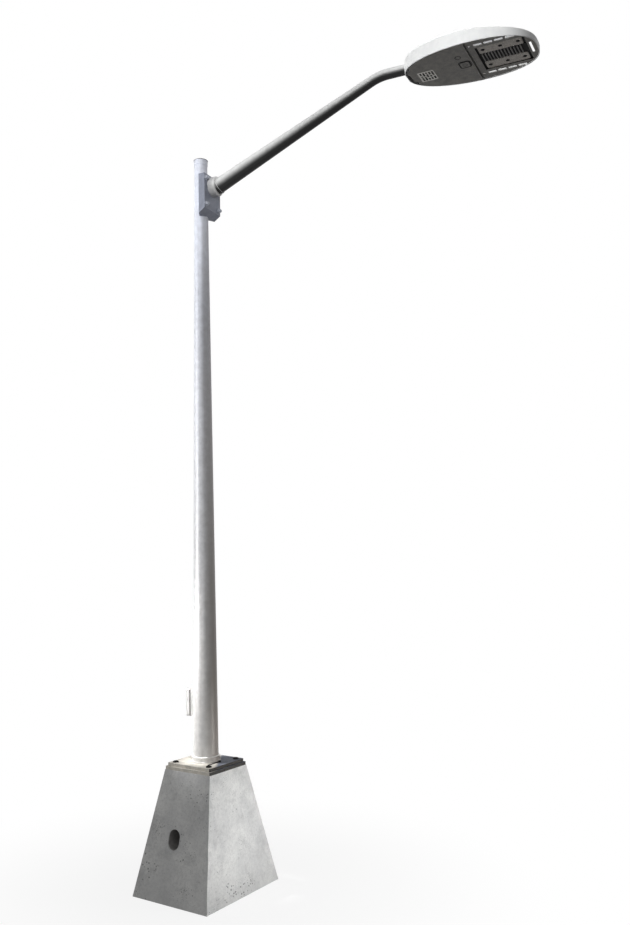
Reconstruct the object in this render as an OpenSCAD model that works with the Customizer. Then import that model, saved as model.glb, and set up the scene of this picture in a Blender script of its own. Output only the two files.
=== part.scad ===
// Street light pole: a concrete block base, a tapered round pole with a bolted
// bracket, one rising arm and a flat teardrop luminaire with a drop-down door.
// Millimetres. +Z is up, +X is the way the arm points, and the origin is on the
// ground under the pole's axis.

/* [Concrete base] */
// Height of the concrete block
base_h = 800; // [600:10:1000]
// Bottom width of the block across its turned X
base_bottom_x = 620; // [560:10:800]
// Bottom width of the block across its turned Y
base_bottom_y = 752; // [600:10:900]
// Width of the block's square top
base_top = 378; // [360:2:500]
// Turn of the base about the pole, against the arm
base_turn = -7; // [-45:1:45]
// Width of the cable mouth
mouth_w = 92; // [60:1:110]
// Height of the cable mouth
mouth_h = 127; // [112:1:180]
// Height of the mouth's centre above the ground
mouth_z = 386; // [250:2:450]
// Distance of the mouth's centre from the middle of its face
mouth_x = -32; // [-50:1:50]
// Diameter of the riser from the mouth up to the pole
riser_d = 100; // [60:1:120]

/* [Plates and anchor bolts] */
// Thickness of the levelling plate and of the flange plate
plate_t = 21; // [12:1:30]
// Width of the flange plate under the pole
flange_w = 356; // [330:2:400]
// Corner radius of both plates
plate_corner = 10; // [4:1:20]
// Distance between neighbouring anchor bolts
bolt_spacing = 280; // [240:2:300]
// Diameter of an anchor rod
rod_d = 24; // [16:1:30]
// Length of rod cast into the concrete
rod_embed = 300; // [150:10:400]
// Diameter of an anchor bolt's round head
head_d = 30; // [28:1:36]
// Thickness of an anchor bolt's head
head_t = 12; // [8:1:14]
// Outer diameter of the collar at the pole's foot
collar_d = 186; // [180:1:200]
// Height of the collar
collar_h = 40; // [20:1:60]

/* [Pole] */
// Outer diameter at the foot
pole_butt_d = 168; // [150:1:174]
// Outer diameter at the top
pole_top_d = 84; // [70:1:110]
// Height of the pole's top above the ground
pole_top_z = 4790; // [4760:10:6000]
// Wall of the pole
pole_wall = 4; // [3:0.5:8]
// Height of the hand hole's centre above the ground
hand_z = 1228; // [1100:1:1600]
// Height of the hand hole's frame
hand_frame_h = 172; // [140:1:200]
// Width of the hand hole's frame
hand_frame_w = 100; // [90:1:120]
// Reach of the frame from the pole's axis
hand_reach = 91; // [88:1:110]
// Depth of the hand hole's cover
cover_t = 25; // [10:1:35]
// Lap of the cover past the frame on every side
cover_lap = 5; // [0:1:10]
// Diameter of the cap's flat lid
cap_d = 94; // [86:1:120]
// Height of the cap above the pole's top
cap_h = 20; // [12:1:40]

/* [Bracket and arm] */
// Distance of the bracket's face from the pole's axis
bracket_face_x = 88; // [76:1:120]
// Depth of the bracket's straight sides
bracket_depth = 45; // [30:1:60]
// Width of the bracket's face
bracket_w = 190; // [170:2:240]
// Height of the bottom edge of the bracket's face
bracket_z = 4460; // [4200:5:4500]
// Height of the bracket's face
bracket_h = 225; // [220:5:300]
// Drop of the sloping underside behind the face
bracket_drop = 30; // [10:1:60]
// Distance between bracket bolts across the face
bracket_bolt_y = 150; // [150:2:200]
// Distance between bracket bolts up the face
bracket_bolt_z = 170; // [166:2:180]
// Diameter of the stub on the bracket
stub_d = 124; // [110:1:140]
// Length of the stub in front of the bracket
stub_l = 50; // [20:1:60]
// Outer diameter of the arm at its root
arm_root_d = 97; // [80:1:104]
// Outer diameter of the arm's level end
arm_end_d = 60.3; // [48:0.1:70]
// Wall of the arm
arm_wall = 3.5; // [2.5:0.5:5]
// Height of the arm's axis where it leaves the stub's mouth
arm_root_z = 4619; // [4560:1:4625]
// Height of the arm's level end
arm_end_z = 5072; // [4900:1:5300]
// Distance of the arm's knee from the pole's axis
arm_knee_x = 1273; // [900:1:1400]
// Bend radius at the arm's knee
knee_r = 300; // [200:10:400]

/* [Luminaire] */
// Distance of the luminaire's arm end from the pole's axis
lum_x = 1450; // [1420:1:1800]
// Length of the luminaire
lum_l = 774; // [740:1:1000]
// Width of the luminaire
lum_w = 440; // [420:1:520]
// Height of the side rim
rim_h = 72; // [66:1:90]
// Height of the rim at the tip
tip_h = 32; // [28:1:50]
// Wall of the rim
rim_wall = 5; // [3:0.5:8]
// Depth of the rim's lower edge under the arm's axis
rim_drop = 57; // [54:1:70]
// Rise of the roof over the rim
crown_h = 33; // [30:1:50]
// Length of the part that the roof covers
gear_l = 412; // [400:1:420]
// Wall of the roof and the bulkhead
sheet_t = 3.5; // [2:0.5:6]
// Outer diameter of the sleeve that takes the arm
sleeve_d = 76; // [72:1:80]
// Length of the arm inside the luminaire
tenon_l = 110; // [80:1:130]

/* [Access door] */
// Thickness of the door's panel
door_t = 4; // [3:0.5:6]
// Gap round the door
door_gap = 5; // [5:0.5:8]
// Distance of the hinge pin from the luminaire's arm end
hinge_u = 32; // [30:1:40]
// Height of the hinge pin over the rim's lower edge
hinge_h = 12; // [11:0.5:13]
// Diameter of the hinge pin
pin_d = 6; // [4:0.5:7]
// Outer diameter of a knuckle on the door
knuckle_d = 10; // [9:0.5:11]
// Size of the square latch
latch_w = 70; // [50:1:80]
// Distance of the latch's centre from the luminaire's arm end
latch_u = 356; // [330:1:360]
// Length of the rating plate along the luminaire
label_l = 98; // [60:1:110]
// Width of the rating plate across the luminaire
label_w = 108; // [60:1:110]

/* [Lamp end] */
// Recess of the bottom frame behind the rim's edge
frame_recess = 5; // [3:1:10]
// Thickness of the bottom frame
frame_t = 4; // [3:0.5:6]
// Length of the lamp tray
tray_l = 276; // [260:1:280]
// Distance of the tray from the luminaire's arm end
tray_u = 446; // [440:1:450]
// Width of the lamp tray
tray_w = 256; // [250:1:262]
// Depth of the lamp tray
tray_depth = 10; // [8:1:14]
// Length of a lamp strip
strip_l = 248; // [230:1:252]
// Width of a lamp strip
strip_w = 76; // [60:1:80]
// Thickness of a lamp strip
strip_t = 5; // [3:0.5:6]
// Width of the ribbed channel between the strips
channel_w = 96; // [86:1:100]
// Number of ribs across the channel
rib_count = 8; // [5:1:9]
// Distance between neighbouring ribs
rib_pitch = 18; // [14:1:20]
// Number of fins on the heat sink
fin_count = 9; // [5:2:11]
// Width of a through slot beside the tray
slot_w = 22; // [14:1:24]

/* [Hidden] */
$fn = 64;
fit = 0.3;            // gap between pieces that slide together once
pin_fit = 0.05;       // gap between the hinge pin and its ears
eps = 1;              // how far a cut runs past the face it opens

flange_z = base_h + plate_t;
foot_z = base_h + 2 * plate_t;
rod_hole_d = rod_d + 2;
head_sink = 2;                        // a bolt head's depth under the plate's top
recess_d = head_d + 2;
collar_lip = 6;
cover_z0 = hand_z - hand_frame_h / 2 - cover_lap;
cover_h = hand_frame_h + 2 * cover_lap;
hand_rim = 16;                        // width of the hand hole frame's bars
cover_corner = 12;
screw_d = 12;
stub_x = bracket_face_x + stub_l;
arm_tan = (arm_end_z - arm_root_z) / (arm_knee_x - stub_x);
arm_slope = atan(arm_tan);
knee_run = knee_r * tan(arm_slope / 2);
arm_overlap = 12;                     // reach of the arm's root inside the stub
rim_z = arm_end_z - rim_drop;
rim_top = rim_z + rim_h;
slope_u = 470;                        // where the rim's top starts to fall
neck_u = 4;                           // flat end where the arm enters
inner_neck_u = neck_u + 6;
ceiling_z = rim_top + crown_h - sheet_t;
frame_z = rim_z + frame_recess;
tray_z = frame_z + frame_t;
sink_z = tray_z + tray_depth;
strip_z = sink_z - sheet_t - strip_t;
gear_end = gear_l - sheet_t - door_gap;   // free end of the access door
door_start = hinge_u - 4;
door_wide_u = hinge_u + hinge_h + door_t; // arm of the door that drops clear of the rim
door_tongue = 62;                     // half width of the door at its hinge
hinge_z = rim_z + hinge_h;
clamp_us = [58, 96];                  // places of the clamp screws under the sleeve
clamp_d = 10;
slot_starts = [450, 508, 567, 627];   // arm ends of the slots beside the tray
slot_l = 48;
tip_slot_u = 733;
tip_slot_l = 112;
tip_slot_w = 13;
slot_v_max = 160;
slot_edge = 5;                        // metal left between a slot and the rim
strip_u = tray_u + 12;                // arm end of the lamp strips
strip_v = channel_w / 2 + strip_w / 2;
outline_a = 0.42;                     // bluntness of the arm end
outline_b = 0.35;                     // bluntness of the tip
outline_n = 40;

// Radius of the pole's outside at a height above the ground
function pole_r(z) = pole_butt_d / 2
    - (pole_butt_d - pole_top_d) / 2 * (z - foot_z) / (pole_top_z - foot_z);
// Half width of a teardrop of length l and width w at distance u along it
function half_w(u, l, w) = w / 2 * pow(2 * u / l, outline_a) * pow(2 - 2 * u / l, outline_b);
function wave(i) = (1 - cos(180 * i / outline_n)) / 2;
// Distance of a slot's middle from the luminaire's centre line
function slot_v(u) = min(slot_v_max,
    half_w(u + slot_l / 2, lum_l, lum_w) - rim_wall - slot_w / 2 - slot_edge);

// Teardrop outline, shrunk on every side by inset
module teardrop(inset) {
    l = lum_l - 2 * inset;
    w = lum_w - 2 * inset;
    near = [for (i = [0:outline_n]) [inset + l * wave(i), half_w(l * wave(i), l, w)]];
    far = [for (i = [outline_n - 1:-1:1]) [near[i][0], -near[i][1]]];
    polygon(concat(near, far));
}

// Teardrop outline kept between two distances along the luminaire
module teardrop_part(inset, from_u, to_u) {
    intersection() {
        teardrop(inset);
        translate([from_u, -lum_w])
            square([to_u - from_u, 2 * lum_w]);
    }
}

module rounded_rect(w, d, r) {
    square([w - 2 * r, d], center = true);
    square([w, d - 2 * r], center = true);
    for (x = [-1, 1], y = [-1, 1])
        translate([x * (w / 2 - r), y * (d / 2 - r)])
            circle(r);
}

// Cylinder along X from x0 to x1 at height z
module x_rod(d, x0, x1, z) {
    translate([x0, 0, z])
        rotate([0, 90, 0])
            cylinder(d = d, h = x1 - x0);
}

module y_rod(d, l) {
    rotate([90, 0, 0])
        cylinder(d = d, h = l, center = true);
}

// Solid of the pole's outside, grown by gap, for cutting seats
module pole_solid(gap) {
    translate([0, 0, foot_z])
        cylinder(r1 = pole_butt_d / 2 + gap, r2 = pole_top_d / 2 + gap, h = pole_top_z - foot_z);
}

module side_prism(points, length) {
    rotate([90, 0, 0])
        linear_extrude(length, center = true)
            polygon(points);
}

module at_bolts() {
    rotate(base_turn)
        for (i = [0:3])
            rotate(90 * i)
                translate([bolt_spacing / 2, bolt_spacing / 2])
                    children();
}

module in_luminaire() {
    translate([lum_x, 0, 0])
        children();
}

module concrete_base() {
    color("gray")
    difference() {
        rotate(base_turn)
            intersection() {
                side_prism([[-base_bottom_x / 2, 0], [base_bottom_x / 2, 0],
                            [base_top / 2, base_h], [-base_top / 2, base_h]], base_bottom_y);
                rotate(90)
                    side_prism([[-base_bottom_y / 2, 0], [base_bottom_y / 2, 0],
                                [base_top / 2, base_h], [-base_top / 2, base_h]], base_bottom_x);
            }
        rotate(base_turn)
            cable_way();
        translate([0, 0, mouth_z])
            cylinder(d = riser_d, h = base_h);
        at_bolts()
            translate([0, 0, base_h - rod_embed])
                cylinder(d = rod_d + 2 * fit, h = rod_embed + eps);
    }
}

// Upright slot with round ends, from the middle of the block out of its front
module cable_way() {
    lift = (mouth_h - mouth_w) / 2;
    for (z = [-lift, lift])
        translate([mouth_x, 0, mouth_z + z])
            rotate([90, 0, 0])
                cylinder(d = mouth_w, h = base_bottom_y);
    translate([mouth_x - mouth_w / 2, -base_bottom_y, mouth_z - lift])
        cube([mouth_w, base_bottom_y, 2 * lift]);
}

module levelling_plate() {
    color("tan")
    difference() {
        translate([0, 0, base_h])
            rotate(base_turn)
                linear_extrude(plate_t)
                    rounded_rect(base_top, base_top, plate_corner);
        translate([0, 0, base_h - eps])
            cylinder(d = riser_d, h = plate_t + 2 * eps);
        at_bolts()
            translate([0, 0, base_h - eps])
                cylinder(d = rod_hole_d, h = plate_t + 2 * eps);
    }
}

module flange_plate() {
    color("wheat")
    difference() {
        translate([0, 0, flange_z])
            rotate(base_turn)
                linear_extrude(plate_t)
                    rounded_rect(flange_w, flange_w, plate_corner);
        translate([0, 0, flange_z - eps])
            cylinder(d = riser_d, h = plate_t + 2 * eps);
        at_bolts() {
            translate([0, 0, flange_z - eps])
                cylinder(d = rod_hole_d, h = plate_t + 2 * eps);
            translate([0, 0, foot_z - head_sink - head_t])
                cylinder(d = recess_d, h = head_t + head_sink + eps);
        }
    }
}

module anchor_bolt(i) {
    head_z = foot_z - head_sink - head_t;
    socket_depth = 6;
    color("dimgray")
    rotate(base_turn + 90 * (i - 1))
        translate([bolt_spacing / 2, bolt_spacing / 2])
            difference() {
                union() {
                    translate([0, 0, base_h - rod_embed])
                        cylinder(d = rod_d, h = head_z + rod_embed - base_h + eps);
                    translate([0, 0, head_z])
                        cylinder(d = head_d, h = head_t);
                }
                translate([0, 0, head_z + head_t - socket_depth])
                    cylinder(d = head_d / 2, h = head_t, $fn = 6);
            }
}

// Earth strap beside the collar, from near the front bolt to its own screw
module bond_strap() {
    gap = 8;
    strap_x = collar_d / 2 + collar_lip + gap;
    strap_from = -bolt_spacing / 2 + recess_d;
    strap_to = 12;
    strap_w = 8;
    strap_t = 4;
    color("dimgray")
    rotate(base_turn)
        translate([0, 0, foot_z]) {
            translate([strap_x - strap_w / 2, strap_from, 0])
                cube([strap_w, strap_to - strap_from, strap_t]);
            translate([strap_x, strap_to, 0])
                cylinder(d = 2 * strap_w, h = 2 * strap_t);
        }
}

module foot_collar() {
    seat_r = pole_butt_d / 2 + fit;
    color("silver")
    translate([0, 0, foot_z])
        rotate_extrude()
            polygon([[seat_r, 0], [collar_d / 2 + collar_lip / 2, 0],
                     [collar_d / 2 + collar_lip / 2, collar_lip],
                     [collar_d / 2, 2 * collar_lip], [collar_d / 2, collar_h - collar_lip / 2],
                     [collar_d / 2 - collar_lip / 2, collar_h], [seat_r, collar_h]]);
}

module pole_shaft() {
    length = pole_top_z - foot_z;
    slot_h = hand_frame_h - 2 * hand_rim;
    slot_w_hand = hand_frame_w - 2 * hand_rim;
    color("lightgray")
    difference() {
        pole_solid(0);
        translate([0, 0, foot_z - eps])
            cylinder(r1 = pole_r(foot_z - eps) - pole_wall,
                     r2 = pole_r(pole_top_z + eps) - pole_wall, h = length + 2 * eps);
        translate([-pole_butt_d, -slot_w_hand / 2, hand_z - slot_h / 2])
            cube([pole_butt_d, slot_w_hand, slot_h]);
    }
}

module hand_hole_frame() {
    depth = pole_butt_d / 2;
    color("gainsboro")
    difference() {
        translate([-hand_reach, 0, hand_z])
            rotate([90, 0, 90])
                linear_extrude(depth)
                    difference() {
                        square([hand_frame_w, hand_frame_h], center = true);
                        square([hand_frame_w - 2 * hand_rim, hand_frame_h - 2 * hand_rim],
                               center = true);
                    }
        pole_solid(0);
    }
}

module hand_hole_cover() {
    cover_w = hand_frame_w + 2 * cover_lap;
    skin = 4;
    color("whitesmoke")
    translate([-hand_reach, 0, hand_z])
        rotate([90, 0, -90])
            difference() {
                linear_extrude(cover_t)
                    rounded_rect(cover_w, cover_h, cover_corner);
                translate([0, 0, -eps])
                    linear_extrude(cover_t - skin + eps)
                        square([cover_w - 4 * cover_corner, cover_h - 4 * cover_corner],
                               center = true);
                for (side = [-1, 1])
                    translate([0, side * (cover_h / 2 - cover_corner), -eps])
                        cylinder(d = screw_d / 2 + 2 * fit, h = cover_t + 2 * eps);
            }
}

module cover_screw(side) {
    head_h = 4;
    reach = 6;
    hole_side = cover_h / 2 - cover_corner;
    color("silver")
    translate([-hand_reach - cover_t, 0, hand_z + side * hole_side])
        rotate([0, -90, 0]) {
            cylinder(d = screw_d, h = head_h);
            translate([0, 0, -cover_t])
                cylinder(d = screw_d / 2, h = cover_t + reach / 2);
        }
}

module pole_cap() {
    lid_t = 4;
    skirt_r = pole_top_d / 2 + 1;
    skirt = 14;                       // how far the cap reaches down the pole
    color("slategray")
    translate([0, 0, pole_top_z])
        rotate_extrude()
            polygon([[0, 0], [pole_top_d / 2 + fit, 0], [pole_top_d / 2 + fit, -skirt],
                     [skirt_r + 1.5, -skirt], [cap_d / 2, cap_h - 2 * lid_t],
                     [cap_d / 2, cap_h], [0, cap_h]]);
}

module bracket() {
    back_x = bracket_face_x - bracket_depth;
    wing_x = 18;
    wing_y = 50;
    wall = 8;
    wire_d = 40;
    plan = [[bracket_face_x, -bracket_w / 2], [bracket_face_x, bracket_w / 2],
            [back_x, bracket_w / 2], [wing_x, wing_y], [wing_x, -wing_y],
            [back_x, -bracket_w / 2]];
    top_z = bracket_z + bracket_h;
    color("lightslategray")
    difference() {
        intersection() {
            linear_extrude(top_z)
                polygon(plan);
            side_prism([[0, top_z], [0, bracket_z - bracket_drop],
                        [back_x, bracket_z - bracket_drop], [bracket_face_x, bracket_z],
                        [bracket_face_x, top_z]], bracket_w + 2 * eps);
        }
        pole_solid(0);
        x_rod(wire_d, 0, bracket_face_x + eps, arm_root_z);
        for (y = [-1, 1])
            translate([back_x - eps, y > 0 ? wing_y + wall : -bracket_w / 2 + wall, bracket_z + wall])
                cube([bracket_depth - wall + eps, bracket_w / 2 - wing_y - 2 * wall,
                      bracket_h - 2 * wall]);
    }
}

module bracket_bolt(i) {
    y = (i == 1 || i == 4 ? -1 : 1) * bracket_bolt_y / 2;
    z = bracket_z + bracket_h / 2 + (i < 3 ? 1 : -1) * bracket_bolt_z / 2;
    washer_d = 34;
    washer_t = 3;
    nut_d = 27;
    nut_t = 12;
    thread_d = 15;
    thread_end = 6;
    color("silver")
    translate([bracket_face_x, y, z])
        rotate([0, 90, 0]) {
            cylinder(d = washer_d, h = washer_t);
            translate([0, 0, washer_t])
                cylinder(d = nut_d, h = nut_t, $fn = 6);
            translate([0, 0, washer_t + nut_t])
                cylinder(d = thread_d, h = thread_end);
        }
}

module arm_stub() {
    lip = 6;
    color("gainsboro")
    difference() {
        union() {
            x_rod(stub_d, bracket_face_x, stub_x - lip, arm_root_z);
            translate([stub_x - lip, 0, arm_root_z])
                rotate([0, 90, 0])
                    cylinder(d1 = stub_d, d2 = stub_d - 2 * lip, h = lip);
        }
        arm_taper(fit, 0);
    }
}

// Straight taper from inside the stub to the start of the knee, grown by gap
module arm_taper(gap, inner) {
    run = arm_knee_x - stub_x;
    straight = run / cos(arm_slope) - knee_run;
    per_length = (arm_root_d - arm_end_d) / straight;
    back = arm_overlap + inner;
    translate([stub_x, 0, arm_root_z])
        rotate([0, 90 - arm_slope, 0])
            translate([0, 0, -back])
                cylinder(d1 = arm_root_d + per_length * back + 2 * gap,
                         d2 = arm_end_d - per_length * inner + 2 * gap,
                         h = straight + back + inner);
}

// Knee and level end of the arm, of one diameter
module arm_level(d, inner) {
    translate([arm_knee_x + knee_run, 0, arm_end_z - knee_r])
        rotate([90, 0, 0])
            rotate([0, 0, 90])
                rotate_extrude(angle = arm_slope)
                    translate([knee_r, 0])
                        circle(d = d);
    x_rod(d, arm_knee_x + knee_run, lum_x + tenon_l + inner, arm_end_z);
}

module arm_tube() {
    color("lightgray")
    difference() {
        arm_taper(0, 0);
        arm_taper(-arm_wall, eps);
    }
}

module arm_tenon() {
    color("lightgray")
    difference() {
        arm_level(arm_end_d, 0);
        arm_level(arm_end_d - 2 * arm_wall, eps);
    }
}

module side_rim() {
    ear_t = 6;
    ear_y = 29;
    color("white")
    in_luminaire()
        difference() {
            union() {
                intersection() {
                    translate([0, 0, rim_z])
                        linear_extrude(rim_h)
                            difference() {
                                teardrop_part(0, neck_u, lum_l);
                                teardrop_part(rim_wall, inner_neck_u, lum_l);
                            }
                    side_prism([[0, rim_z], [lum_l, rim_z], [lum_l, rim_z + tip_h],
                                [slope_u, rim_top], [0, rim_top]], lum_w + 2 * eps);
                }
                x_rod(sleeve_d, -neck_u, tenon_l + neck_u, arm_end_z);
                for (y = [-1, 1])
                    translate([hinge_u, y * ear_y, hinge_z]) {
                        y_rod(knuckle_d, ear_t);
                        translate([-knuckle_d / 2, -ear_t / 2, 0])
                            cube([knuckle_d, ear_t, arm_end_z - sleeve_d / 3 - hinge_z]);
                    }
            }
            x_rod(arm_end_d + 2 * fit, -neck_u - eps, tenon_l + neck_u + eps, arm_end_z);
            translate([hinge_u, 0, hinge_z])
                y_rod(pin_d + 2 * pin_fit, lum_w / 2);
            for (u = clamp_us)
                translate([u, 0, rim_z])
                    cylinder(d = clamp_d + 2 * fit, h = rim_drop);
        }
}

module clamp_screw(i) {
    hex_d = 16;
    head_h = 6;
    seat = arm_end_z - sleeve_d / 2;
    color("dimgray")
    in_luminaire()
        translate([clamp_us[i - 1], 0, seat - head_h]) {
            cylinder(d = hex_d, h = head_h, $fn = 6);
            cylinder(d = clamp_d, h = head_h + (sleeve_d - arm_end_d) / 2 - fit);
        }
}

module roof() {
    color("whitesmoke")
    in_luminaire()
        difference() {
            roof_solid(0);
            roof_solid(sheet_t);
            x_rod(sleeve_d + 2 * fit, -neck_u - eps, gear_l / 2, arm_end_z);
        }
}

// Crowned roof over the gear, shrunk by inset; hull() blends rim to crown
module roof_solid(inset) {
    skin = 0.5;
    crown_in = 70;
    under = inset > 0 ? eps : 0;
    hull() {
        translate([0, 0, rim_top - under])
            linear_extrude(skin + under)
                teardrop_part(inset, neck_u + inset, gear_l - inset);
        translate([0, 0, rim_top + crown_h - inset - skin])
            linear_extrude(skin)
                teardrop_part(crown_in + inset, crown_in / 2, gear_l - crown_in / 3 - inset);
    }
}

module bulkhead() {
    color("gray")
    in_luminaire()
        translate([gear_l - sheet_t, 0, frame_z + frame_t])
            linear_extrude(rim_top - frame_z - frame_t)
                teardrop_slice(sheet_t);
}

// Strip of the inner outline, t long, starting at the local zero
module teardrop_slice(t) {
    translate([-gear_l + t, 0])
        teardrop_part(rim_wall, gear_l - t, gear_l);
}

module bottom_frame() {
    color("dimgray")
    in_luminaire()
        translate([0, 0, frame_z])
            linear_extrude(frame_t)
                difference() {
                    teardrop_part(rim_wall, gear_l - sheet_t, lum_l);
                    translate([tray_u, -tray_w / 2])
                        square([tray_l, tray_w]);
                    lamp_slots();
                }
}

module lamp_slots() {
    corner_u = 418;
    corner_l = 16;
    for (y = [-1, 1]) {
        for (u = slot_starts)
            translate([u, y * slot_v(u) - slot_w / 2])
                square([slot_l, slot_w]);
        translate([0, y * slot_v(corner_u)])
            polygon([[corner_u, -slot_w / 2], [corner_u + corner_l, 0],
                     [corner_u, slot_w / 2]]);
    }
    translate([tip_slot_u, -tip_slot_l / 2])
        square([tip_slot_w, tip_slot_l]);
}

module lamp_tray() {
    wall = 3;
    color("black")
    in_luminaire()
        difference() {
            translate([tray_u - wall, -tray_w / 2 - wall, tray_z])
                cube([tray_l + 2 * wall, tray_w + 2 * wall, tray_depth]);
            translate([tray_u, -tray_w / 2, tray_z - eps])
                cube([tray_l, tray_w, tray_depth - sheet_t + eps]);
        }
}

module lamp_strip(side) {
    corner = 8;
    color("darkgray")
    in_luminaire()
        translate([strip_u + strip_l / 2, side * strip_v, strip_z])
            linear_extrude(strip_t)
                rounded_rect(strip_l, strip_w, corner);
}

module strip_screws(side) {
    head_h = 2.5;
    screw_head_d = 11;
    screw_edge = 25;
    color("black")
    in_luminaire()
        for (i = [-1, 0, 1])
            translate([strip_u + strip_l / 2 + i * (strip_l / 2 - screw_edge),
                       side * strip_v, strip_z - head_h])
                cylinder(d = screw_head_d, h = head_h);
}

module channel_ribs() {
    rib_t = 6;
    rib_h = 8;
    rib_margin = 6;
    color("dimgray")
    in_luminaire()
        for (i = [0:rib_count - 1])
            translate([tray_u + tray_l / 2 + (i - (rib_count - 1) / 2) * rib_pitch - rib_t / 2,
                       -channel_w / 2 + rib_margin, sink_z - sheet_t - rib_h])
                cube([rib_t, channel_w - 2 * rib_margin, rib_h]);
}

module tip_baffle() {
    baffle_l = 13;
    end_gap = 3;
    color("black")
    in_luminaire()
        translate([tray_u + tray_l - end_gap - baffle_l, -channel_w / 2, strip_z])
            cube([baffle_l, channel_w, strip_t]);
}

module heat_sink() {
    fin_t = 3;
    base_t = 5;
    over = 2;
    fin_pitch = (tray_w - fin_t) / (fin_count - 1);
    end_u = tray_u + tray_l;
    top_at_end = rim_z + rim_h - (rim_h - tip_h) * (end_u - slope_u) / (lum_l - slope_u) - over;
    color("darkgray")
    in_luminaire() {
        translate([gear_l, -tray_w / 2, sink_z])
            cube([end_u - gear_l, tray_w, base_t]);
        for (i = [0:fin_count - 1])
            translate([0, -tray_w / 2 + fin_t / 2 + i * fin_pitch, 0])
                side_prism([[gear_l, sink_z], [end_u, sink_z], [end_u, top_at_end],
                            [slope_u, rim_top - over], [gear_l, rim_top - over]], fin_t);
    }
}

module driver_box() {
    length = 180;
    width = 110;
    height = 46;
    end_gap = 30;
    color("silver")
    in_luminaire()
        translate([gear_l - sheet_t - end_gap - length, -width / 2, ceiling_z - height])
            cube([length, width, height]);
}

module terminal_block() {
    length = 24;
    width = 90;
    height = 22;
    arm_gap = 24;
    color("ivory")
    in_luminaire()
        translate([tenon_l + arm_gap, -width / 2, ceiling_z - height])
            cube([length, width, height]);
}

module hinge_pin() {
    pin_l = 70;
    color("silver")
    in_luminaire()
        translate([hinge_u, 0, hinge_z])
            y_rod(pin_d, pin_l);
}

module access_door() {
    knuckle_l = 12;
    knuckle_y = 14;
    leg_h = hinge_z - rim_z;
    color("dimgray")
    in_luminaire()
        difference() {
            union() {
                translate([0, 0, rim_z])
                    linear_extrude(door_t) {
                        teardrop_part(rim_wall + door_gap, door_wide_u, gear_end);
                        translate([door_start, -door_tongue])
                            square([door_wide_u - door_start + eps, 2 * door_tongue]);
                    }
                for (y = [-1, 1])
                    translate([hinge_u, y * knuckle_y, hinge_z]) {
                        y_rod(knuckle_d, knuckle_l);
                        translate([-knuckle_d / 2, -knuckle_l / 2, -leg_h])
                            cube([knuckle_d, knuckle_l, leg_h]);
                    }
            }
            translate([hinge_u, 0, hinge_z])
                y_rod(pin_d + 2 * fit, lum_w / 2);
        }
}

module door_latch() {
    corner = 16;
    proud = 3;
    color("black")
    in_luminaire()
        translate([latch_u, 0, rim_z - proud])
            linear_extrude(proud)
                rounded_rect(latch_w, latch_w, corner);
}

module rating_plate() {
    plate = 1;
    label_u = 122;
    label_v = 26;
    color("lightgray")
    in_luminaire()
        translate([label_u, label_v, rim_z - plate])
            linear_extrude(plate)
                square([label_l, label_w], center = true);
}

concrete_base();
levelling_plate();
flange_plate();
anchor_bolt(1);  // anchor_bolt_1
anchor_bolt(2);  // anchor_bolt_2
anchor_bolt(3);  // anchor_bolt_3
anchor_bolt(4);  // anchor_bolt_4
bond_strap();
foot_collar();
pole_shaft();
hand_hole_frame();
hand_hole_cover();
cover_screw(1);  // cover_screw_top
cover_screw(-1);  // cover_screw_bottom
pole_cap();
bracket();
bracket_bolt(1);  // bracket_bolt_1
bracket_bolt(2);  // bracket_bolt_2
bracket_bolt(3);  // bracket_bolt_3
bracket_bolt(4);  // bracket_bolt_4
arm_stub();
arm_tube();
arm_tenon();
side_rim();
roof();
bulkhead();
bottom_frame();
heat_sink();
lamp_tray();
lamp_strip(1);  // lamp_strip_left
lamp_strip(-1);  // lamp_strip_right
channel_ribs();
strip_screws(1);  // strip_screws_left
strip_screws(-1);  // strip_screws_right
tip_baffle();
clamp_screw(1);  // clamp_screw_1
clamp_screw(2);  // clamp_screw_2
driver_box();
terminal_block();
hinge_pin();
access_door();
door_latch();
rating_plate();
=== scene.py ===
import math

import bmesh
import bpy
from mathutils import Matrix, Vector


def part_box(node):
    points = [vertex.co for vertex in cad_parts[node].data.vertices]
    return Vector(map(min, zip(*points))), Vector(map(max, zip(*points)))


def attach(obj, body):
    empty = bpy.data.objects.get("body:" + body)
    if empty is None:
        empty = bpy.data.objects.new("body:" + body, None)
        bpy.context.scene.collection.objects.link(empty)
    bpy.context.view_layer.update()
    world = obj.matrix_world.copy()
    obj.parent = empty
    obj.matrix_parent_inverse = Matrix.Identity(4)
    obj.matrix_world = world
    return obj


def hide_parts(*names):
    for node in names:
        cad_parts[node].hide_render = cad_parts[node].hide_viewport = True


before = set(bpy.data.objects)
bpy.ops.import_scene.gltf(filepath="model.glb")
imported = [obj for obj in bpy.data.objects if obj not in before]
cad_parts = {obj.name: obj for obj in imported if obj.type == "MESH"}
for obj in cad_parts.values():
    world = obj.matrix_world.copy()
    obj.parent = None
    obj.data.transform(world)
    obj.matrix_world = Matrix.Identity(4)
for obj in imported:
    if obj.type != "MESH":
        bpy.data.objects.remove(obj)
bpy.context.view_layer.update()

scene = bpy.context.scene
mm = 0.001


def finishPiece(name, bm, material, body="structure", sharp=32):
    bmesh.ops.remove_doubles(bm, verts=bm.verts, dist=0.01 * mm)
    bmesh.ops.recalc_face_normals(bm, faces=bm.faces)
    return addPiece(name, bm, material, body, sharp)


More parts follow.
